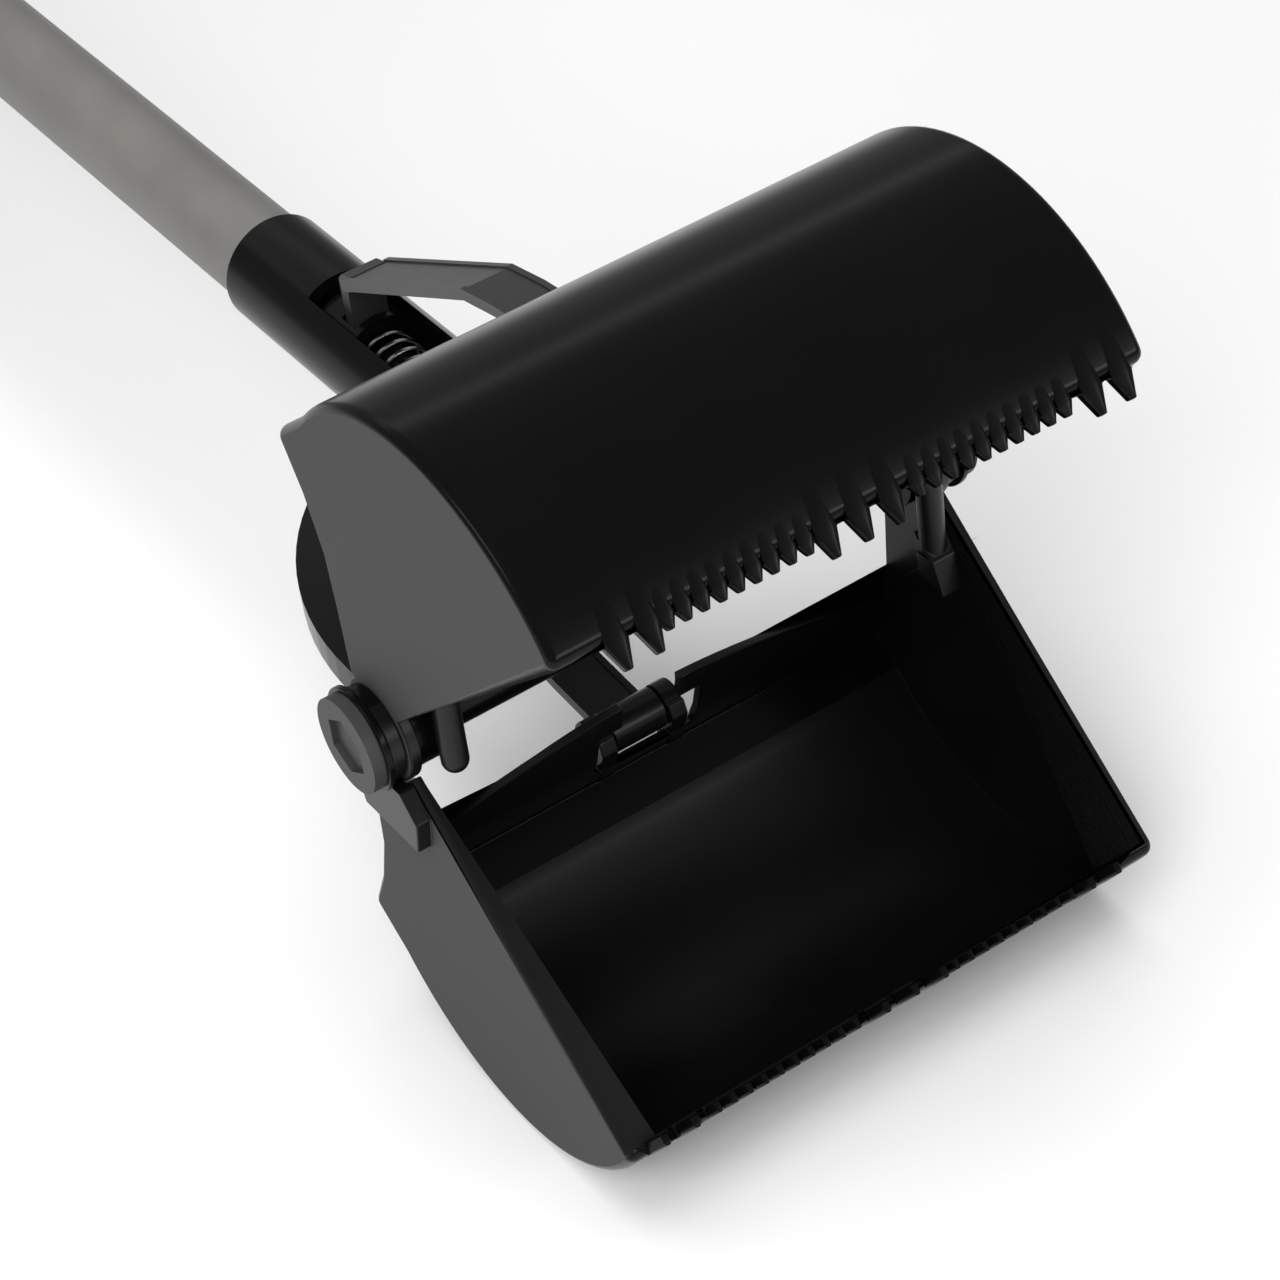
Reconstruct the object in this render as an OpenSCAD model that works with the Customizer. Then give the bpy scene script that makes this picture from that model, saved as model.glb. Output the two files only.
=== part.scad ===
// Two-jaw pick-up scoop: a long pole with a pair of toothed clamshell jaws
// at one end and a trigger grip at the other. All sizes are in millimetres.
// X runs along the jaw hinge, Y from the jaws back to the grip, Z is up.

/* [Jaws] */
// Width over the two side plates
jaw_w = 162; // [140:1:180]
// Thickness of the shell, the back wall and the side plates
wall = 3; // [2.4:0.1:3.4]
// Radius of the outside of the shell
shell_r = 64.5; // [62:0.5:67]
// Angle of each rim above or below the pole axis when the jaws stand open
open_angle = 40; // [36:0.5:42]
// Gap between the two side plates and the parts that turn beside them
side_gap = 0.4; // [0.3:0.05:0.6]

/* [Teeth] */
// Length of a long tooth beyond the lip
long_tooth = 6.7; // [5:0.1:7]
// Width of a long tooth where it leaves the lip
long_base = 6.3; // [6:0.1:7]
// Length of a small tooth beyond the lip
small_tooth = 3.4; // [3:0.1:4.5]
// Distance between neighbouring small teeth
small_pitch = 4.6; // [4.4:0.1:4.8]
// How far the teeth lean out from the line of the shell
tooth_flare = 10; // [0:1:12]

/* [Hinge] */
// Diameter of the steel axle that both jaws turn on
axle_d = 8; // [6:0.5:9]
// Diameter of the pin that joins a link to its jaw
knuckle_pin_d = 5; // [4:0.5:6]

/* [Pole] */
// Outside diameter of the pole
pole_d = 28; // [26:0.5:30]
// Wall thickness of the pole
pole_wall = 1.5; // [1:0.1:2]
// Distance from the jaw hinge to the rear end of the pole
pole_end = 630; // [500:5:800]
// Diameter of the push rod inside the pole
rod_d = 8; // [6:0.5:10]

/* [Return spring] */
// Outside diameter of the coil
spring_d = 18; // [16:0.5:20]
// Diameter of the wire
spring_wire = 1.3; // [1:0.1:1.6]

/* [Grip] */
// Width over the two halves of the grip
grip_w = 34; // [34:1:40]
// Depth of the hand grip from front to back
grip_depth = 32; // [28:1:36]
// Distance of the trigger pin below the pole axis
trigger_drop = 48; // [46:1:52]
// Diameter of the hole that the tool hangs by
hang_hole_d = 9; // [6:0.5:10]

/* [Hidden] */
$fn = 96;
fit = 0.05;        // radial clearance of every turning or sliding fit
press = 0.02;      // radial clearance of parts that are pressed or glued together

// Side view of a jaw, as [y, z] from the hinge
shell_c = [-36, 42];
back_corner = [25, 75];
back_edge = [[18, 61], [13.5, 46], [12.5, 30], [12, 14]];
arch_r = 212;      // the free edge of the back wall is an arc of this radius
arch_mid = 43;     // its height above the hinge at the middle
notch_w = 32;      // notch in the back wall for the link's knuckle
notch_top = 68;
notch_step = 51;   // nearer the free edge the notch is just wide enough for the link
link_gap = 18;
knuckle = [23.5, 61.5];
knuckle_r = 6;
lug_in = 8.6;      // the two knuckle lugs stand between these distances
lug_out = 13.6;    // from the middle of the jaw

// The lip is where the rim line meets the shell's arc
rim_dir = [-cos(open_angle), sin(open_angle)];
c_along = rim_dir * shell_c;
lip_r = c_along + sqrt(c_along * c_along - shell_c * shell_c + shell_r * shell_r);
lip = lip_r * rim_dir;
lip_angle = atan2(lip[1] - shell_c[1], lip[0] - shell_c[0]);
tooth_angle = lip_angle + 90 - tooth_flare;

// The flat between the back corner and the arc touches the arc here
to_corner = back_corner - shell_c;
tangent_angle = atan2(to_corner[1], to_corner[0]) + acos(shell_r / norm(to_corner));
inner_r = shell_r - wall;
to_corner_in = back_corner + [-wall, -wall] - shell_c;
tangent_in = atan2(to_corner_in[1], to_corner_in[0])
    + acos(min(1, inner_r / norm(to_corner_in)));

// Stack of parts on the axle, as distances from the middle of the tool
plate_out = jaw_w / 2;
plate_in = plate_out - wall;
yoke_out = plate_in - 0.5;
yoke_in = yoke_out - 8;
lug_layer = plate_out + side_gap;
lug_layer_end = lug_layer + 3.6;
washer_x = lug_layer_end + side_gap;
washer_end = washer_x + 1.8;
cap_end = washer_end + 3.4;
plate_hub_r = 13.9;
outer_hub_r = 12.5;
hub_clear_r = plate_hub_r + 0.5;
yoke_hub_r = 12.3;
cap_r = 12.7;

// Yoke and socket
yoke_t = 8.6;
yoke_w = 11.5;
yoke_y = 20;
yoke_rise = 83;
socket_r = pole_d / 2 + 2.3;
socket_front = 58;
socket_rear = 186;
pole_front = 150;
slot_w = 19;
slot_front = 75;
slot_rear = 149;
pole_in_r = pole_d / 2 - pole_wall;
slide_r = pole_in_r + 0.06;

// Slider, spring and links at rest
spring_front = 65.5;
slider_front = 128;
slider_rear = 146;
spindle_r = 5.5;
leg_y = 134;
link_w = 15.6;
link_t = 2.2;
lip_h = 3.2;
link_path = [knuckle + [3.5, 1], [48, 60.4], [63, 57.6], [130.5, 25.8]];
leg_low = 6;
leg_w = 11;
pocket_play = 1.6;

// Grip
trigger_pivot = [pole_end + 42, -trigger_drop];
trigger_half = 24.6;   // the trigger swings this far each side of upright
cross_pin_r = 3;
cross_pin_y = trigger_pivot[0] + trigger_drop * tan(trigger_half);
grip_front = pole_end - 38;
grip_rear = pole_end + 112;
floor_z = shell_c[1] + shell_r;
handle_front = grip_rear - grip_depth - 4;
screw_spots = [[handle_front + 16, -floor_z + 9], [grip_rear - 13, 0],
    [pole_end + 17.5, 2 - trigger_drop], [handle_front - 3.5, -2 - trigger_drop]];
head_deep = 2.6;       // depth that the screw heads are sunk to
hang_y = grip_rear + 14;
hang_r = 12;
rear_end = hang_y + hang_r;

// The origin is under the middle of the tool, on the surface it lies on
front_end = lip[0] + long_tooth * cos(tooth_angle);
mid_y = (rear_end + front_end) / 2;

module placed() translate([0, -mid_y, floor_z]) children();

// Extrudes a side view, drawn as [y, z], from x0 to x1
module across(x0, x1)
    translate([x0, 0, 0]) rotate([90, 0, 90]) linear_extrude(x1 - x0) children();

// A round bar or hole along X
module bar(r, x0, x1, at = [0, 0])
    translate([x0, at[0], at[1]]) rotate([0, 90, 0]) cylinder(r = r, h = x1 - x0);

// A round bar or hole along Y, on the pole axis
module shaft(r, y0, y1) translate([0, y0, 0]) rotate([-90, 0, 0]) cylinder(r = r, h = y1 - y0);

module mirrored() { children(); mirror([1, 0, 0]) children(); }

function polar(c, r, a) = c + r * [cos(a), sin(a)];

// ---- jaws ----

// Everything behind the rim line and in front of the back edge
module jaw_bounds(back_shift)
    polygon(concat([[0, 0] - 8 * rim_dir * (back_shift > 0 ? 1 : 0), 3 * shell_r * rim_dir,
        [back_corner[0] - back_shift, 3 * shell_r],
        back_corner - [back_shift, 0]],
        [for (p = back_edge) p - [back_shift, 0]]));

module jaw_round(r, corner, tangent)
    union() {
        translate(shell_c) circle(r);
        // starts just inside the tangent point, so that flat and arc cross cleanly
        polygon(concat([shell_c, polar(shell_c, r - 1, tangent + 3), corner],
            [for (p = back_edge) p], [[0, 0]]));
    }

module jaw_side()
    intersection() {
        jaw_bounds(0);
        jaw_round(shell_r, back_corner, tangent_angle);
    }

module jaw_cavity()
    intersection() {
        jaw_bounds(wall);
        jaw_round(inner_r, back_corner - [wall, wall], tangent_in);
    }

// Shell and back wall in one, open at the rim, with the arched free edge
module jaw_shell()
    difference() {
        across(-plate_out, plate_out) jaw_side();
        across(-plate_in, plate_in) union() {
            jaw_cavity();
            polygon([[0, 0], 3 * shell_r * rim_dir, 3 * shell_r * [-1, 0]]);
        }
        // room below the arched edge of the back wall
        difference() {
            translate([-plate_in, -1, -1]) cube([2 * plate_in, 40, arch_mid + 20]);
            translate([0, -2, arch_mid + arch_r]) rotate([-90, 0, 0])
                cylinder(r = arch_r, h = 60, $fn = 240);
        }
        translate([-notch_w / 2, 2, notch_step]) cube([notch_w, 40, notch_top - notch_step]);
        translate([-link_gap / 2, 2, 0]) cube([link_gap, 40, notch_top - 1]);
    }

module tooth(base, len)
    polygon([[-base / 2, -2], [base / 2, -2], [base / 2, tooth_root], [base * 0.14, len],
        [-base * 0.14, len], [-base / 2, tooth_root]]);

tooth_root = 0.3;  // the notches between the teeth end this far beyond the lip
long_spots = [-65, -56.8, -10.2, -1.3, 7.5, 64.2, 72.8];
function small_run(x0, count) = [for (i = [0 : count - 1]) x0 + i * small_pitch];
small_spots = concat(small_run(-52.3, 9), small_run(14.9, 10));

module jaw_teeth()
    translate([0, lip[0], lip[1]]) rotate([tooth_angle, 0, 0]) translate([0, 0, 0.05])
        linear_extrude(wall - 0.5) {
            for (x = long_spots) translate([x, 0]) tooth(long_base, long_tooth);
            for (x = small_spots) translate([x, 0]) tooth(small_pitch, small_tooth);
        }

module knuckle_lug()
    across(lug_in, lug_out) difference() {
        union() {
            translate(knuckle) circle(knuckle_r);
            polygon([[17.6, 58], knuckle + [4, -4.4], knuckle + [5.6, 2], [24.6, 74],
                [20.5, 73], [16.2, 62]]);
        }
        translate(knuckle) circle(knuckle_pin_d / 2 + fit);
    }

// Round-ended peg beside the left plate; it keeps the other jaw's plate in line
module guide_peg()
    translate([-plate_in + 6.6, -17.2, 0]) {
        translate([0, 0, -3.6]) cylinder(r = 3.5, h = 22);
        translate([0, 0, -3.6]) sphere(r = 3.5);
    }

module peg_root()
    across(-plate_in - 0.5, -plate_in + 10)
        polygon([[-14, 12.8], [-21.4, 19], [-25, 28], [-15, 26]]);

// One moulding serves as both jaws: its left hub runs inside, its right hub outside
module jaw() {
    difference() {
        jaw_shell();
        across(plate_in - 1, plate_out + 1) circle(hub_clear_r);
        bar(axle_d / 2 + fit, -plate_out - 1, plate_out + 1);
    }
    difference() {
        bar(plate_hub_r, -plate_out, -plate_in);
        bar(axle_d / 2 + fit, -plate_out - 1, plate_out);
    }
    difference() {
        bar(outer_hub_r, lug_layer, lug_layer_end);
        bar(axle_d / 2 + fit, lug_layer - 1, lug_layer_end + 1);
    }
    difference() {
        across(plate_in, lug_layer_end)
            polygon([[-12, 10.5], [9, 10.5], [10.5, 16], [8, 27], [-16, 27], [-18, 17]]);
        across(plate_in - 1, lug_layer) circle(hub_clear_r);
    }
    jaw_teeth();
    mirrored() knuckle_lug();
    guide_peg();
    peg_root();
}

module upper_jaw() color([0.09, 0.09, 0.09]) placed() jaw();
module lower_jaw() color([0.08, 0.08, 0.08]) placed() rotate([0, 180, 0]) jaw();

module knuckle_pin(side)
    bar(knuckle_pin_d / 2, -lug_out - 0.6, lug_out + 0.6, [knuckle[0], side * knuckle[1]]);

module upper_knuckle_pin() color([0.7, 0.7, 0.7]) placed() knuckle_pin(1);
module lower_knuckle_pin() color([0.7, 0.7, 0.7]) placed() knuckle_pin(-1);

// ---- links ----

function normal(a, b) = let (d = (b - a) / norm(b - a)) [-d[1], d[0]];
function joined(n1, n2) = (n1 + n2) / (1 + n1 * n2);
function bend(p, i) = i == 0 ? normal(p[0], p[1])
    : i == len(p) - 1 ? normal(p[i - 1], p[i])
    : joined(normal(p[i - 1], p[i]), normal(p[i], p[i + 1]));
// Outline of a strip along the path p, from t0 to t1 beside it
function strip(p, t0, t1) = concat([for (i = [0 : len(p) - 1]) p[i] + t1 * bend(p, i)],
    [for (i = [len(p) - 1 : -1 : 0]) p[i] + t0 * bend(p, i)]);

// Flat bent strap with raised lips; its rear leg hooks into the slider
module link() {
    difference() {
        union() {
            across(-link_w / 2, link_w / 2) polygon(strip(link_path, -link_t / 2, link_t / 2));
            mirrored() across(link_w / 2 - 1.8, link_w / 2)
                polygon(strip(link_path, -lip_h / 2, lip_h / 2));
            bar(knuckle_r - 0.2, -link_w / 2, link_w / 2, knuckle);
        }
        bar(knuckle_pin_d / 2 + fit, -link_w, link_w, knuckle);
    }
    across(-leg_w / 2, leg_w / 2)
        polygon([[leg_y - 2, leg_low], [leg_y + 2, leg_low], [leg_y + 2, 24.4],
            [leg_y, 26.6], [129, 28], [128, 24.6], [leg_y - 2, 21.6]]);
}

module upper_link() color([0.12, 0.12, 0.12]) placed() link();
module lower_link() color([0.12, 0.12, 0.12]) placed() mirror([0, 0, 1]) link();

// ---- yoke, hinge hardware and pole ----

function ellipse(a, b) = [for (t = [0 : 4 : 180]) [a * cos(t), yoke_y + b * sin(t)]];

module yoke_plan()
    difference() {
        polygon(concat([[yoke_out, 0]], ellipse(yoke_out, yoke_rise), [[-yoke_out, 0]]));
        polygon(concat([[yoke_out - yoke_w, -1]],
            ellipse(yoke_out - yoke_w, yoke_rise - yoke_w), [[yoke_w - yoke_out, -1]]));
    }

module yoke_frame() color([0.1, 0.1, 0.1]) placed()
    difference() {
        union() {
            translate([0, 0, -yoke_t / 2]) linear_extrude(yoke_t) yoke_plan();
            mirrored() bar(yoke_hub_r, yoke_in, yoke_out);
            shaft(socket_r, socket_front, socket_rear);
        }
        bar(axle_d / 2 + fit, -yoke_out - 1, yoke_out + 1);
        bar(9, -yoke_in, yoke_in);
        shaft(spindle_r + fit, socket_front - 1, spring_front);
        shaft(slide_r, spring_front - 1.5, pole_front + 1);
        shaft(pole_d / 2 + fit, pole_front, socket_rear + 1);
        for (s = [-1, 1])
            translate([-slot_w / 2, slot_front, s > 0 ? 2 : -2 - 2 * socket_r])
                cube([slot_w, slot_rear - slot_front, 2 * socket_r]);
        translate([0, 168, -socket_r - 1]) cylinder(r = 2 + fit, h = 6);
    }

module cross_tube() color([0.06, 0.06, 0.06]) placed()
    difference() {
        bar(8.4, -yoke_in + 0.2, yoke_in - 0.2);
        bar(axle_d / 2 + fit, -yoke_in, yoke_in);
    }

module hinge_axle() color([0.75, 0.75, 0.75]) placed() bar(axle_d / 2, -cap_end + 2, cap_end - 2);

module hub_washer()
    difference() {
        bar(plate_hub_r, washer_x, washer_end - 0.02);
        bar(axle_d / 2 + fit, washer_x - 1, washer_end + 1);
    }

module hub_washer_right() color([0.05, 0.05, 0.05]) placed() hub_washer();
module hub_washer_left() color([0.05, 0.05, 0.05]) placed() mirror([1, 0, 0]) hub_washer();

// Push-on cap with a hexagonal recess
module axle_cap()
    difference() {
        bar(cap_r, washer_end, cap_end);
        bar(axle_d / 2 + fit, washer_end - 1, cap_end - 2 + fit);
        translate([cap_end - 1.6, 0, 0]) rotate([0, 90, 0]) cylinder(r = 8, h = 4, $fn = 6);
    }

module axle_cap_right() color([0.2, 0.2, 0.2]) placed() axle_cap();
module axle_cap_left() color([0.2, 0.2, 0.2]) placed() mirror([1, 0, 0]) axle_cap();

module pole_tube() color([0.55, 0.54, 0.52]) placed()
    difference() {
        shaft(pole_d / 2, pole_front, pole_end);
        shaft(pole_in_r, pole_front - 1, pole_end + 1);
        for (y = [168, pole_end - 20])
            translate([0, y, -pole_d / 2 - 1]) cylinder(r = 2 + fit, h = 4);
    }

// Short button-head screw, up into the pole from below
module pole_screw(y, head_z)
    translate([0, y, 0]) {
        translate([0, 0, head_z]) cylinder(r = 2, h = -head_z - pole_in_r + 0.2);
        translate([0, 0, head_z - 1.6]) cylinder(r = 3.6, h = 1.6);
    }

module pole_screw_front() color([0.6, 0.6, 0.6]) placed() pole_screw(168, -socket_r);
module pole_screw_rear() color([0.6, 0.6, 0.6]) placed() pole_screw(pole_end - 20, -18);

module rod_guide(y)
    difference() {
        shaft(pole_in_r - press, y, y + 12);
        shaft(rod_d / 2 + fit, y - 1, y + 13);
    }

module rod_guide_front() color([0.85, 0.85, 0.8]) placed() rod_guide(205);
module rod_guide_rear() color([0.85, 0.85, 0.8]) placed() rod_guide(pole_end - 45);

module spring_seat() color([0.85, 0.85, 0.8]) placed()
    difference() {
        shaft(slide_r - press, spring_front - 1.5, spring_front);
        shaft(spindle_r + fit, spring_front - 3, spring_front + 1);
    }

module return_spring() color([0.7, 0.7, 0.72]) placed()
    difference() {
        shaft(spring_d / 2, spring_front + 0.1, slider_front - 0.1);
        shaft(spring_d / 2 - spring_wire, spring_front, slider_front);
    }

// ---- slider and push rod ----

module slider() color([0.07, 0.07, 0.07]) placed()
    difference() {
        union() {
            shaft(pole_in_r, slider_front, slider_rear);
            shaft(spindle_r, socket_front - 1, slider_front + 1);
        }
        for (s = [-1, 1])
            translate([-leg_w / 2 - 0.6, leg_y - 2 - pocket_play, s > 0 ? 2.6 : -22.6])
                cube([leg_w + 1.2, 4 + 2 * pocket_play, 20]);
        shaft(rod_d / 2 + press, slider_rear - 6, slider_rear + 1);
    }

module push_rod() color([0.72, 0.72, 0.72]) placed()
    difference() {
        shaft(rod_d / 2, slider_rear - 6, cross_pin_y + 12);
        bar(cross_pin_r + press, -rod_d, rod_d, [cross_pin_y, 0]);
    }

module rod_nut() color([0.5, 0.5, 0.5]) placed()
    difference() {
        translate([0, slider_rear, 0]) rotate([-90, 0, 0]) cylinder(r = 7.5, h = 5, $fn = 6);
        shaft(rod_d / 2 + press, slider_rear - 1, slider_rear + 6);
    }

module rod_cross_pin() color([0.72, 0.72, 0.72]) placed()
    bar(cross_pin_r, -11, 11, [cross_pin_y, 0]);

// ---- grip and trigger ----

module grip_outline()
    polygon([[grip_front, -18], [grip_front, 18], [grip_rear - 8, 18], [grip_rear, 10],
        [grip_rear, -12], [grip_rear - 2, 6 - floor_z], [grip_rear - 8, -floor_z],
        [handle_front + 8, -floor_z], [handle_front + 2, 2 - floor_z],
        [handle_front, 9 - floor_z], [handle_front - 4, -trigger_drop - 14],
        [pole_end + 16, -trigger_drop - 14], [pole_end + 11, -trigger_drop - 11],
        [pole_end + 4, -18]]);

// Sector in which the trigger's upper arm swings
module swing_room()
    polygon([trigger_pivot + [-44, 64], trigger_pivot + [-44, 40], trigger_pivot + [-16, -11],
        trigger_pivot + [-16, -20], trigger_pivot + [18, -20], trigger_pivot + [18, -11],
        trigger_pivot + [40, 36], trigger_pivot + [44, 64]]);

module grip_half()
    difference() {
        across(0, grip_w / 2) grip_outline();
        shaft(pole_d / 2 + fit, grip_front - 1, pole_end);
        shaft(14, pole_end - 1, grip_rear - 26);
        across(-1, 10.5) intersection() {
            swing_room();
            translate([grip_front, -floor_z]) square([grip_rear - grip_front, floor_z + 12]);
        }
        across(-1, 13) polygon([[handle_front + 8, -28], [handle_front + 9, 18 - floor_z],
            [grip_rear - 10, 18 - floor_z], [grip_rear - 6, -28]]);
        bar(3 + fit, -1, grip_w, trigger_pivot);
        for (p = screw_spots) bar(1.6 + fit, -1, grip_w / 2 - head_deep, p);
        translate([0, pole_end - 20, -19]) cylinder(r = 2 + fit, h = 8);
        shaft(6 + fit, grip_rear - 8, grip_rear + 1);
    }

module grip_right() color([0.1, 0.1, 0.1]) placed()
    difference() {
        grip_half();
        for (p = screw_spots) bar(3.4, grip_w / 2 - head_deep - 0.01, grip_w, p);
    }

module grip_left() color([0.1, 0.1, 0.1]) placed() mirror([1, 0, 0]) grip_half();

module grip_screws() color([0.6, 0.6, 0.6]) placed()
    for (p = screw_spots) {
        bar(1.6, head_deep + 0.4 - grip_w / 2, grip_w / 2 - head_deep, p);
        difference() {
            bar(3.2, grip_w / 2 - head_deep, grip_w / 2 - 0.4, p);
            translate([grip_w / 2 - 1.4, p[0], p[1]]) rotate([0, 90, 0])
                cylinder(r = 1.4, h = 3, $fn = 6);
        }
    }

module trigger_pin() color([0.7, 0.7, 0.7]) placed()
    bar(3, -grip_w / 2 - 0.4, grip_w / 2 + 0.4, trigger_pivot);

module rear_cap() color([0.1, 0.1, 0.1]) placed()
    difference() {
        union() {
            across(-6, 6) {
                translate([hang_y, 0]) circle(hang_r);
                translate([grip_rear, -hang_r]) square([hang_y - grip_rear, 2 * hang_r]);
            }
            shaft(6, grip_rear - 8, grip_rear + 1);
        }
        bar(hang_hole_d / 2, -7, 7, [hang_y, 0]);
    }

// Outline of the lever about its pivot, standing upright
module trigger_blade()
    polygon([[-7, 4], [-6.5, -20], [-3, -34], [-6, -50], [-3.5, -54], [2.5, -54],
        [6, -48], [7.5, -34], [5.5, -20], [7, 4]]);

module trigger_arm()
    difference() {
        polygon([[-7, 0], [-7.4, trigger_drop + 10], [-4.4, trigger_drop + 10],
            [4.4, trigger_drop + 10], [7.4, trigger_drop + 10], [7, 0]]);
        translate([-cross_pin_r - 0.9, trigger_drop - 6]) square([2 * cross_pin_r + 1.8, 30]);
    }

module trigger() color([0.12, 0.12, 0.12]) placed()
    translate([0, trigger_pivot[0], trigger_pivot[1]]) rotate([-trigger_half, 0, 0])
        difference() {
            union() {
                across(-9, 9) circle(9);
                mirrored() across(5, 9) trigger_arm();
                across(-7.5, 7.5) trigger_blade();
            }
            bar(3 + fit, -10, 10);
        }

pole_tube();
yoke_frame();
cross_tube();
hinge_axle();
axle_cap_left();
axle_cap_right();
hub_washer_left();
hub_washer_right();
spring_seat();
return_spring();
pole_screw_front();
pole_screw_rear();
rod_guide_front();
rod_guide_rear();
grip_left();
grip_right();
grip_screws();
trigger_pin();
rear_cap();
slider();
push_rod();
rod_nut();
rod_cross_pin();
upper_jaw();
upper_knuckle_pin();
upper_link();
lower_jaw();
lower_knuckle_pin();
lower_link();
trigger();
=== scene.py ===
"""Looks of the two-jaw pick-up scoop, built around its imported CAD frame. Lengths are in metres."""

import math

import bmesh
import bpy
from mathutils import Matrix, Vector


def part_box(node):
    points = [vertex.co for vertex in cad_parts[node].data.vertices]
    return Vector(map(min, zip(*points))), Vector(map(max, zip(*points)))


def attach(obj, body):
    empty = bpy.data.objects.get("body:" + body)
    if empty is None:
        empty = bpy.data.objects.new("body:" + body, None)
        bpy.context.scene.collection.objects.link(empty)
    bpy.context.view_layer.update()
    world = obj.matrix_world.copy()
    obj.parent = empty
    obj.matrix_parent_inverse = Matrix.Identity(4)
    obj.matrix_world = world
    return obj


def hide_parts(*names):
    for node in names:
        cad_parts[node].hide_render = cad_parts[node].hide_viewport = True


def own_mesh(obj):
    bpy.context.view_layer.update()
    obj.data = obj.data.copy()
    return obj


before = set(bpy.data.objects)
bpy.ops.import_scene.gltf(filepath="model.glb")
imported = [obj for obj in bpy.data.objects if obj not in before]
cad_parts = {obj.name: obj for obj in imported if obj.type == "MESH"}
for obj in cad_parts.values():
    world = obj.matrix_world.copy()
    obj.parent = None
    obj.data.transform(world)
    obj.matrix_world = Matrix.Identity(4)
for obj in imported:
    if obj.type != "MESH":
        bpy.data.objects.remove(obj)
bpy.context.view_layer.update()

MM = 0.001
WELD = 0.004 * MM   # vertices nearer than this are one
TOUCH = 0.05 * MM   # points nearer than this to a plane lie on it

# ---------------------------------------------------------------- places, from the frame


def middle(node):
    """The middle of a CAD node's box."""
    low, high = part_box(node)
    return (low + high) / 2


HINGE = middle("hinge_axle")
JAW_LOW, JAW_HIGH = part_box("upper_jaw")
PLATE_OUT = -JAW_LOW.x      # outside of the side plates
SHELL_R = 64.5 * MM         # outside radius of the jaws' round shell
SHELL_C = Vector((0, HINGE.y - 36 * MM, JAW_HIGH.z - SHELL_R))
SPRING_LOW, SPRING_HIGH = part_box("return_spring")

# ---------------------------------------------------------------- materials


def new_material(name):
    """An empty node material and its principled shader."""
    material = bpy.data.materials.new(name)
    material.use_nodes = True
    return material, material.node_tree, material.node_tree.nodes["Principled BSDF"]


def noise(tree, scale, detail, stretch=(1, 1, 1)):
    """A noise texture in object space, stretched along the axes."""
    coords = tree.nodes.new("ShaderNodeTexCoord")
    mapping = tree.nodes.new("ShaderNodeMapping")
    mapping.inputs["Scale"].default_value = stretch
    texture = tree.nodes.new("ShaderNodeTexNoise")
    texture.inputs["Scale"].default_value = scale
    texture.inputs["Detail"].default_value = detail
    tree.links.new(coords.outputs["Object"], mapping.inputs["Vector"])
    tree.links.new(mapping.outputs["Vector"], texture.inputs["Vector"])
    return texture


def tint(tree, shader, source, low, high):
    """Colours the shader from low to high over the middle of a texture's values."""
    node = tree.nodes.new("ShaderNodeValToRGB")
    node.color_ramp.elements[0].position = 0.35
    node.color_ramp.elements[1].position = 0.65
    node.color_ramp.elements[0].color = low
    node.color_ramp.elements[1].color = high
    tree.links.new(source, node.inputs["Fac"])
    tree.links.new(node.outputs["Color"], shader.inputs["Base Color"])


def polish(tree, shader, source, low, high):
    """Varies the shader's roughness from low to high with a texture's values."""
    node = tree.nodes.new("ShaderNodeMapRange")
    node.inputs["To Min"].default_value = low
    node.inputs["To Max"].default_value = high
    tree.links.new(source, node.inputs["Value"])
    tree.links.new(node.outputs["Result"], shader.inputs["Roughness"])


def bump(tree, shader, source, strength, distance):
    """Roughens the shader's surface by a texture's values."""
    node = tree.nodes.new("ShaderNodeBump")
    node.inputs["Strength"].default_value = strength
    node.inputs["Distance"].default_value = distance
    tree.links.new(source, node.inputs["Height"])
    tree.links.new(node.outputs["Normal"], shader.inputs["Normal"])


def shade(colour, factor):
    """The colour made lighter or darker, with full alpha."""
    return tuple(min(1.0, c * factor) for c in colour) + (1.0,)


def moulded(name, colour, rough, grain=2500, depth=0.02, stretch=(1, 1, 1), specular=0.5):
    """Moulded plastic: fine grain in the bump, soft blotches in colour and roughness."""
    material, tree, shader = new_material(name)
    blotch = noise(tree, 38, 3)
    tint(tree, shader, blotch.outputs["Fac"], shade(colour, 0.93), shade(colour, 1.07))
    polish(tree, shader, blotch.outputs["Fac"], rough * 0.88, rough * 1.12)
    fine = noise(tree, grain, 2, stretch)
    bump(tree, shader, fine.outputs["Fac"], 0.35, depth * MM)
    shader.inputs["Specular IOR Level"].default_value = specular
    return material


def metal(name, colour, rough, stretch=(1, 1, 1), scale=900):
    """Bare metal with fine drawing lines along the stretched axis."""
    material, tree, shader = new_material(name)
    lines = noise(tree, scale, 3, stretch)
    tint(tree, shader, lines.outputs["Fac"], shade(colour, 0.85), shade(colour, 1.12))
    polish(tree, shader, lines.outputs["Fac"], rough * 0.8, rough * 1.25)
    bump(tree, shader, lines.outputs["Fac"], 0.25, 0.01 * MM)
    shader.inputs["Metallic"].default_value = 1.0
    return material


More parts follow.
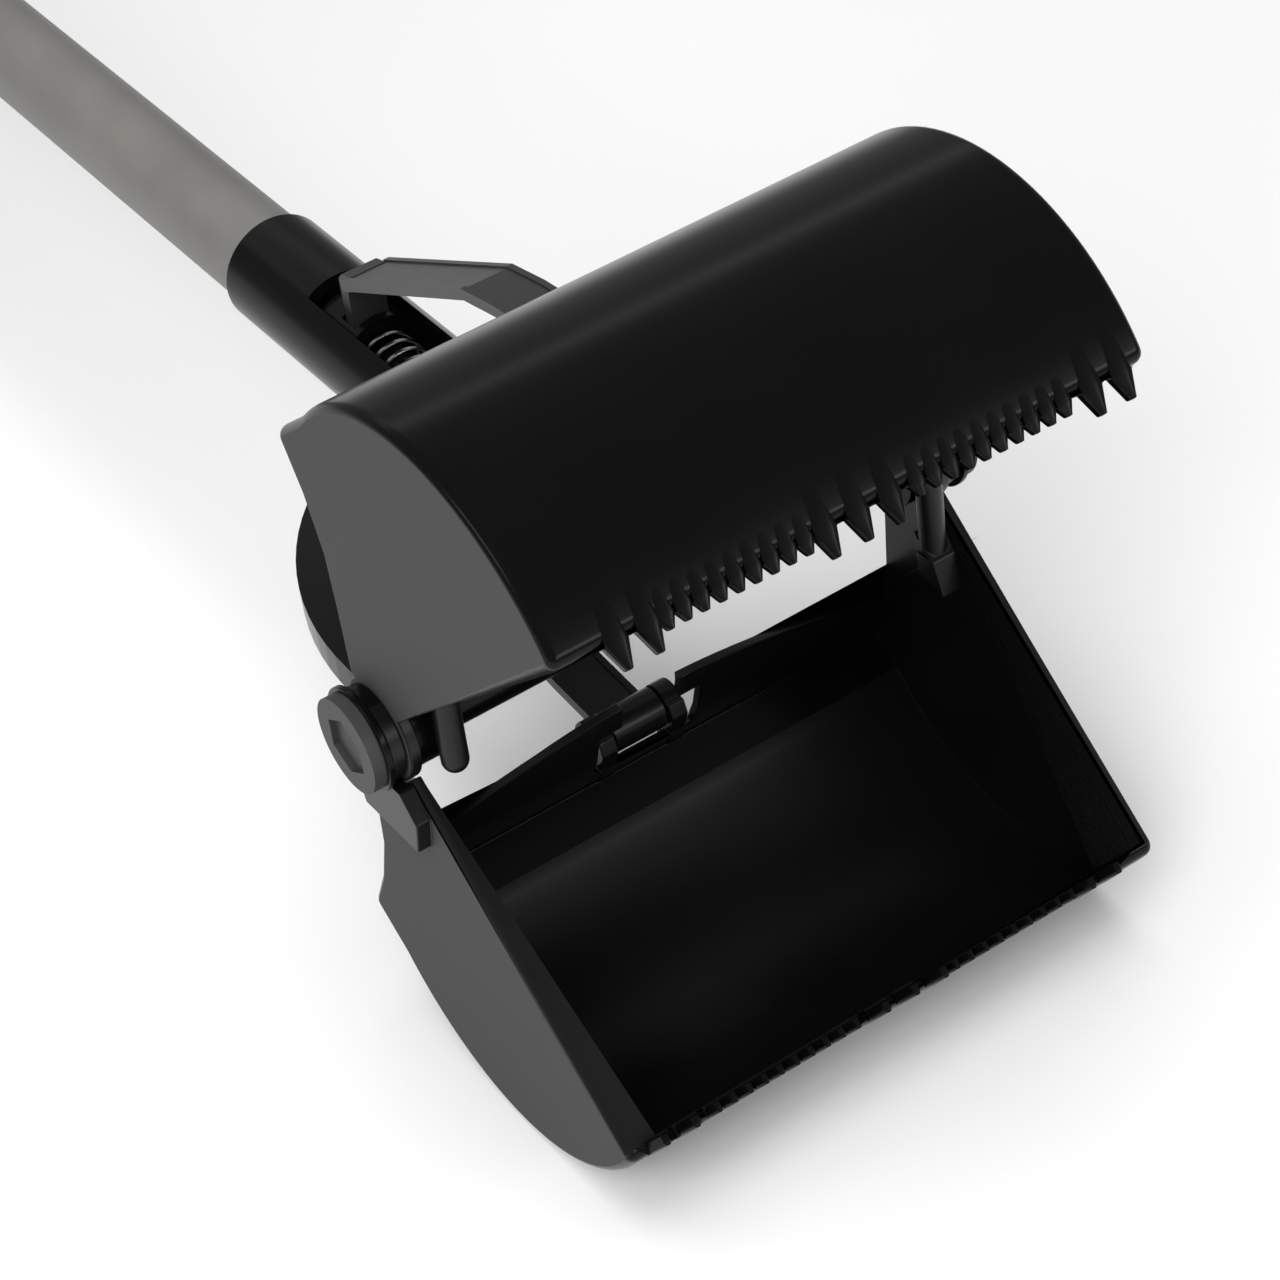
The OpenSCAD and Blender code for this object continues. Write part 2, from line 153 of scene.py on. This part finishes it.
JAW_GLOSS = moulded("jaw_gloss_black", (0.0013, 0.0013, 0.0016), 0.22, grain=900, depth=0.004,
                    specular=0.15)
# side plates: the jaw plastic with a fine grain, its colour made much lighter as painted light for
# the light the plates catch from the left
JAW_SIDE_PAINTED_LIGHT = moulded("jaw_side_grain_painted_light", (0.036, 0.036, 0.037), 0.7, grain=3200, depth=0.02,
                   specular=0.3)
JAW_INSIDE = moulded("jaw_inside_black", (0.0026, 0.0026, 0.0029), 0.34, grain=1400, depth=0.01,
                     specular=0.3)
FRAME_BLACK = moulded("frame_black", (0.0016, 0.0016, 0.0019), 0.24, grain=1500, depth=0.01,
                      specular=0.14)
CAP_GREY = moulded("cap_grey", (0.026, 0.026, 0.027), 0.5, grain=2600, depth=0.02, specular=0.3)
LINK_BLACK = moulded("link_black", (0.016, 0.016, 0.017), 0.42, grain=2400, depth=0.02)
LINK_DARK = moulded("link_dark", (0.004, 0.004, 0.0045), 0.3, grain=2000, depth=0.012,
                    specular=0.25)
POLE_GREY = moulded("pole_coating", (0.11, 0.108, 0.1), 0.42, grain=1800, depth=0.012,
                    stretch=(1, 0.25, 1), specular=0.35)
NYLON = moulded("natural_nylon", (0.72, 0.7, 0.64), 0.45)
GRIP_BLACK = moulded("grip_black", (0.016, 0.016, 0.017), 0.5, grain=1300, depth=0.05)
TRIGGER_BLACK = moulded("trigger_black", (0.02, 0.02, 0.021), 0.34, grain=2000, depth=0.012)
STEEL = metal("zinc_steel", (0.55, 0.55, 0.56), 0.3)
SPRING_WIRE = metal("spring_wire", (0.62, 0.62, 0.6), 0.22)
ROD_METAL = metal("drawn_rod", (0.65, 0.65, 0.66), 0.3, stretch=(1, 0.02, 1), scale=2500)

# ---------------------------------------------------------------- mesh helpers


def make_object(name, mesh, materials, body):
    """A piece that rides on a body and takes the given materials."""
    piece = bpy.data.objects.new(name, mesh)
    bpy.context.scene.collection.objects.link(piece)
    for material in materials:
        mesh.materials.append(material)
    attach(piece, body)
    return piece


def smooth(mesh, angle=32):
    """Smooth shading, except over edges sharper than the angle in degrees."""
    for polygon in mesh.polygons:
        polygon.use_smooth = True
    mesh.set_sharp_from_angle(angle=math.radians(angle))


def even_shading(piece):
    """Keeps large flat faces flat beside their rounded edges."""
    weight = piece.modifiers.new("even_shading", "WEIGHTED_NORMAL")
    weight.mode = "FACE_AREA"
    weight.weight = 50
    weight.keep_sharp = True


def welded(node):
    """A workable copy of a CAD node: welded, and with each flat face as few polygons."""
    bm = bmesh.new()
    bm.from_mesh(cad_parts[node].data)
    bmesh.ops.remove_doubles(bm, verts=bm.verts[:], dist=WELD)
    bmesh.ops.dissolve_limit(bm, angle_limit=math.radians(0.4), verts=bm.verts[:],
                             edges=bm.edges[:])
    return bm


def round_edges(bm, width, segments, wanted=lambda edge: True):
    """Rounds the wanted edges among those that are clearly sharp."""
    sharp = math.radians(28)
    edges = [edge for edge in bm.edges
             if edge.is_manifold and edge.calc_face_angle() > sharp and wanted(edge)]
    if edges:
        bmesh.ops.bevel(bm, geom=edges, offset=width, offset_type="OFFSET", segments=segments,
                        profile=0.5, affect="EDGES", clamp_overlap=False)


def skin(bm, rings):
    """Joins rings of vertices into a closed tube."""
    for ring, following in zip(rings, rings[1:]):
        for k in range(len(ring)):
            n = (k + 1) % len(ring)
            bm.faces.new((ring[k], ring[n], following[n], following[k]))
    bm.faces.new(rings[0][::-1])
    bm.faces.new(rings[-1])


def finished(bm, name, materials, body, slot_name, *nodes):
    """Turns the mesh into a piece, which may stand for CAD nodes."""
    bmesh.ops.recalc_face_normals(bm, faces=bm.faces[:])
    mesh = bpy.data.meshes.new(name)
    bm.to_mesh(mesh)
    bm.free()
    smooth(mesh)
    piece = make_object(name, mesh, materials, body)
    even_shading(piece)
    if nodes:
        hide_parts(*nodes)


def soften(node, width):
    """Rounds all sharp edges of a CAD node that stays, by a width in millimetres."""
    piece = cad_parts[node]
    weld = piece.modifiers.new("weld", "WELD")
    weld.merge_threshold = WELD
    bevel = piece.modifiers.new("bevel", "BEVEL")
    bevel.width = width * MM
    bevel.segments = 3
    bevel.limit_method = "ANGLE"
    bevel.angle_limit = math.radians(35)
    even_shading(piece)


def dress(material, *nodes):
    """Gives CAD nodes that stay their finished material."""
    for node in nodes:
        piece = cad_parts[node]
        piece.data.materials.clear()
        piece.data.materials.append(material)


# ---------------------------------------------------------------- the jaws


BEAD = 2.7 * MM        # rounding where the side plates meet the shell
EDGE = 0.4 * MM        # rounding of all other edges
HUB_ROOM = 17 * MM     # no bead this near to the hinge
INNER = SHELL_R - 2 * MM   # faces nearer than this to the shell's middle count as inside


def flip(point, side):
    """The place in the upper jaw that matches a point of this side's jaw, and the other way."""
    if side > 0:
        return Vector(point)
    return Vector((-point[0], point[1], 2 * HINGE.z - point[2]))


def turned(direction, side):
    """A direction in this side's jaw as it points in the upper jaw."""
    return Vector((side * direction.x, direction.y, side * direction.z))


def jaw(node, side, body):
    """One jaw: beads along its outer corners, grained side plates lightened with painted light, and
    a duller inside.
    """
    bm = welded(node)

    def outer_corner(edge):
        """Edges where a side plate meets the shell or the back wall, outside."""
        centre = flip((edge.verts[0].co + edge.verts[1].co) / 2, side)
        on_plate = all(abs(abs(v.co.x) - PLATE_OUT) < TOUCH for v in edge.verts)
        outward = centre - SHELL_C
        outward.x = 0
        normals = [turned(face.normal, side) for face in edge.link_faces]
        away = any(abs(normal.x) < 0.3 and normal.dot(outward.normalized()) > 0.5
                   for normal in normals)
        return on_plate and away and (centre - HINGE).yz.length > HUB_ROOM

    round_edges(bm, BEAD, 6, outer_corner)
    round_edges(bm, EDGE, 2)
    bm.normal_update()
    for face in bm.faces:
        centre = face.calc_center_median()
        inside = (flip(centre, side) - SHELL_C).yz.length < INNER
        # the outer faces of the side plates take the lighter plastic, which is painted light
        if abs(face.normal.x) > 0.97 and abs(abs(centre.x) - PLATE_OUT) < 2 * TOUCH:
            face.material_index = 1
        elif inside:
            face.material_index = 2
    finished(bm, node + "_moulding", [JAW_GLOSS, JAW_SIDE_PAINTED_LIGHT, JAW_INSIDE], body,
             "jaw_plastic", node)


jaw("upper_jaw", 1, "upper_jaw")
jaw("lower_jaw", -1, "lower_jaw")

# ---------------------------------------------------------------- flutes that run into the teeth

# places of the teeth along the lip, in millimetres from its middle
LONG_TEETH = (-65, -56.8, -10.2, -1.3, 7.5, 64.2, 72.8)
SMALL_PITCH = 4.6
SMALL_TEETH = (tuple(-52.3 + SMALL_PITCH * i for i in range(9))
               + tuple(14.9 + SMALL_PITCH * i for i in range(10)))
OPENING = math.radians(40)   # how far each jaw's rim stands open at rest
FLARE = math.radians(10)     # how far the teeth lean outwards
RIM = Vector((0, -math.cos(OPENING), math.sin(OPENING)))   # along the upper jaw's rim
SINK = 0.06 * MM   # a flute's edges end this far under the surface
FOOT = 0.5 * MM    # and its underside this far


def spoke(angle):
    """The direction at an angle in the side view."""
    return Vector((0, math.cos(angle), math.sin(angle)))


def angle_of_lip():
    """Where the rim line from the hinge meets the shell, as an angle round the shell."""
    toward = SHELL_C - HINGE
    along = RIM.dot(toward)
    reach = along + math.sqrt(along * along - toward.length_squared + SHELL_R * SHELL_R)
    lip = HINGE + RIM * reach - SHELL_C
    return math.atan2(lip.z, lip.y)


LIP_ANGLE = angle_of_lip()
LIP = SHELL_C + spoke(LIP_ANGLE) * SHELL_R
TOOTH_ANGLE = LIP_ANGLE + math.radians(90) - FLARE
TOOTH_OUT = Vector((0, math.sin(TOOTH_ANGLE), -math.cos(TOOTH_ANGLE)))


def flute(bm, x, base, length, rise, tail, side):
    """A low rounded ridge: it grows out of the shell and runs down the tooth to its tip."""
    steps, arc = 16, 8
    rings = []
    for i in range(steps + 1):
        past_lip = -tail + (tail + length) * i / steps
        if past_lip < 0:
            share = 1 + past_lip / tail
            up = spoke(LIP_ANGLE + past_lip / SHELL_R)
            place = SHELL_C + up * SHELL_R
            wide, high = base * (0.45 + 0.5 * share), rise * share ** 1.6
        else:
            share = past_lip / length
            up = TOOTH_OUT
            place = LIP + spoke(TOOTH_ANGLE) * past_lip
            wide, high = base * (0.95 - 0.72 * share), rise * (1 - 0.55 * share)
        ring = []
        for k in range(arc + 1):
            turn = math.pi * k / arc
            point = place + up * (high * math.sin(turn) - SINK)
            point.x = x - wide / 2 * math.cos(turn)
            ring.append(bm.verts.new(flip(point, side)))
        for across in (0.42, -0.42):
            point = place - up * FOOT
            point.x = x + wide * across
            ring.append(bm.verts.new(flip(point, side)))
        rings.append(ring)
    skin(bm, rings)


def flutes(name, side, body):
    """The flutes of all teeth of one jaw."""
    bm = bmesh.new()
    for x in LONG_TEETH:
        flute(bm, x * MM, base=6.3 * MM, length=6.5 * MM, rise=0.9 * MM, tail=13 * MM, side=side)
    for x in SMALL_TEETH:
        flute(bm, x * MM, base=4.5 * MM, length=3.3 * MM, rise=0.55 * MM, tail=8 * MM, side=side)
    finished(bm, name, [JAW_GLOSS], body, "jaw_plastic")


flutes("upper_jaw_flutes", 1, "upper_jaw")
flutes("lower_jaw_flutes", -1, "lower_jaw")

# ---------------------------------------------------------------- the return spring


def coil(name, wire, turns):
    """The mesh of a compression spring along Y; wire is the radius of the wire."""
    radius = (SPRING_HIGH.x - SPRING_LOW.x) / 2 - wire
    length = SPRING_HIGH.y - SPRING_LOW.y
    steps_per_turn, sides = 28, 10
    steps = int(turns * steps_per_turn)
    bm = bmesh.new()
    rings = []
    for i in range(steps + 1):
        share = i / steps
        turn = 2 * math.pi * turns * share
        out = Vector((math.cos(turn), 0, math.sin(turn)))
        along = SPRING_LOW.y + wire + (length - 2 * wire) * share
        centre = Vector((HINGE.x, along, HINGE.z)) + out * radius
        ring = []
        for k in range(sides):
            a = 2 * math.pi * k / sides
            around = out * (wire * math.cos(a)) + Vector((0, wire * math.sin(a), 0))
            ring.append(bm.verts.new(centre + around))
        rings.append(ring)
    skin(bm, rings)
    bmesh.ops.recalc_face_normals(bm, faces=bm.faces[:])
    mesh = bpy.data.meshes.new(name)
    bm.to_mesh(mesh)
    bm.free()
    smooth(mesh, 60)
    return mesh


def return_spring():
    """The coil rides on the frame, on a mesh of its own; the real spring is squashed as the slider
    comes forward.
    """
    mesh = coil("return_spring_coil", wire=0.65 * MM, turns=12.5)
    piece = make_object("return_spring_coil", mesh, [SPRING_WIRE], "frame")
    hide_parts("return_spring")
    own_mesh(piece)


return_spring()

# ---------------------------------------------------------------- the two halves of the grip


def grip_half(node):
    """Rounds the long edges of the outline generously, so that the grip suits a hand."""
    bm = welded(node)
    low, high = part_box(node)
    outer = max(abs(low.x), abs(high.x))

    def on_outline(edge):
        """Long edges on the outer face, not the short ones of screw holes."""
        at_side = all(abs(abs(v.co.x) - outer) < TOUCH for v in edge.verts)
        return at_side and edge.calc_length() > 3 * MM

    round_edges(bm, 3 * MM, 5, on_outline)
    finished(bm, node + "_moulding", [GRIP_BLACK], "frame", "grip_plastic", node)


grip_half("grip_left")
grip_half("grip_right")

# ---------------------------------------------------------------- carried-over CAD nodes

dress(FRAME_BLACK, "yoke_frame", "slider", "cross_tube", "hub_washer_left", "hub_washer_right")
dress(CAP_GREY, "axle_cap_left", "axle_cap_right")
dress(LINK_BLACK, "upper_link")
dress(LINK_DARK, "lower_link")
dress(POLE_GREY, "pole_tube")
dress(STEEL, "hinge_axle", "pole_screw_front", "pole_screw_rear", "grip_screws", "trigger_pin",
      "rod_nut", "rod_cross_pin", "upper_knuckle_pin", "lower_knuckle_pin")
dress(ROD_METAL, "push_rod")
dress(NYLON, "spring_seat", "rod_guide_front", "rod_guide_rear")
dress(GRIP_BLACK, "rear_cap")
dress(TRIGGER_BLACK, "trigger")

ROUNDING = {"yoke_frame": 1.0, "slider": 0.4, "axle_cap_left": 0.7, "axle_cap_right": 0.7,
            "hub_washer_left": 0.4, "hub_washer_right": 0.4, "upper_link": 0.5,
            "lower_link": 0.5, "rod_nut": 0.3, "rear_cap": 1.2, "trigger": 1.6, "pole_tube": 0.2}
for softened, rounding in ROUNDING.items():
    soften(softened, rounding)

# ---------------------------------------------------------------- floor, light and camera


def stage():
    """A pale floor below the tool."""
    mesh = bpy.data.meshes.new("floor")
    bm = bmesh.new()
    bmesh.ops.create_grid(bm, x_segments=1, y_segments=1, size=4)
    bm.to_mesh(mesh)
    bm.free()
    floor = bpy.data.objects.new("floor", mesh)
    floor.location = (0, HINGE.y, 0)
    bpy.context.scene.collection.objects.link(floor)
    material, _, shader = new_material("studio_floor")
    shader.inputs["Base Color"].default_value = (0.59, 0.59, 0.59, 1)
    shader.inputs["Roughness"].default_value = 0.9
    shader.inputs["Specular IOR Level"].default_value = 0.1
    mesh.materials.append(material)


def area_light(name, place, target, size, power, glossy=True):
    """A rectangular light; its place and target are measured from the jaw hinge."""
    light = bpy.data.lights.new(name, "AREA")
    light.shape = "RECTANGLE"
    light.size, light.size_y = size
    light.energy = power
    lamp = bpy.data.objects.new(name, light)
    lamp.location = HINGE + Vector(place)
    aim = HINGE + Vector(target) - lamp.location
    lamp.rotation_euler = aim.to_track_quat("-Z", "Y").to_euler()
    lamp.visible_glossy = glossy
    bpy.context.scene.collection.objects.link(lamp)


def studio():
    """White surroundings, two large soft lights and three strips that show as reflections."""
    world = bpy.data.worlds.new("studio")
    world.use_nodes = True
    world.node_tree.nodes["Background"].inputs["Color"].default_value = (1, 1, 1, 1)
    world.node_tree.nodes["Background"].inputs["Strength"].default_value = 0.3
    bpy.context.scene.world = world
    area_light("overhead", (-0.2, 0.0, 2.2), (0, 0, 0), (2.2, 2.2), 58, glossy=False)
    area_light("key", (-1.3, -1.2, 1.5), (0, 0.1, 0), (1.3, 1.3), 62, glossy=False)
    area_light("left_strip", (-1.6, 0.1, 0.9), (0, 0, 0), (0.9, 0.25), 3)
    area_light("back_strip", (0.2, 1.6, 1.1), (0, 0, 0), (2.2, 0.2), 1.3)
    area_light("lip_card", (0.55, -1.45, 0.56), (0, -0.09, 0.08), (1.6, 0.18), 6)


def camera():
    """The view: an eye placed from the jaw hinge, turned by azimuth, elevation and roll."""
    data = bpy.data.cameras.new("camera")
    data.sensor_width = 36
    data.lens = 101.35
    data.clip_end = 50
    eye = HINGE + Vector((-347.8, -592.7, 559.5)) * MM
    azimuth, elevation, roll = math.radians(-29.88), math.radians(40.03), math.radians(-7.87)
    back = Vector((math.sin(azimuth) * math.cos(elevation),
                   -math.cos(azimuth) * math.cos(elevation), math.sin(elevation)))
    right = Vector((0, 0, 1)).cross(back).normalized()
    up = back.cross(right)
    turn = Matrix.Rotation(roll, 3, back)
    axes = Matrix((turn @ right, turn @ up, back)).transposed()
    viewer = bpy.data.objects.new("camera", data)
    viewer.matrix_world = Matrix.Translation(eye) @ axes.to_4x4()
    bpy.context.scene.collection.objects.link(viewer)
    bpy.context.scene.camera = viewer


stage()
studio()
camera()
bpy.context.scene.view_settings.view_transform = "Standard"
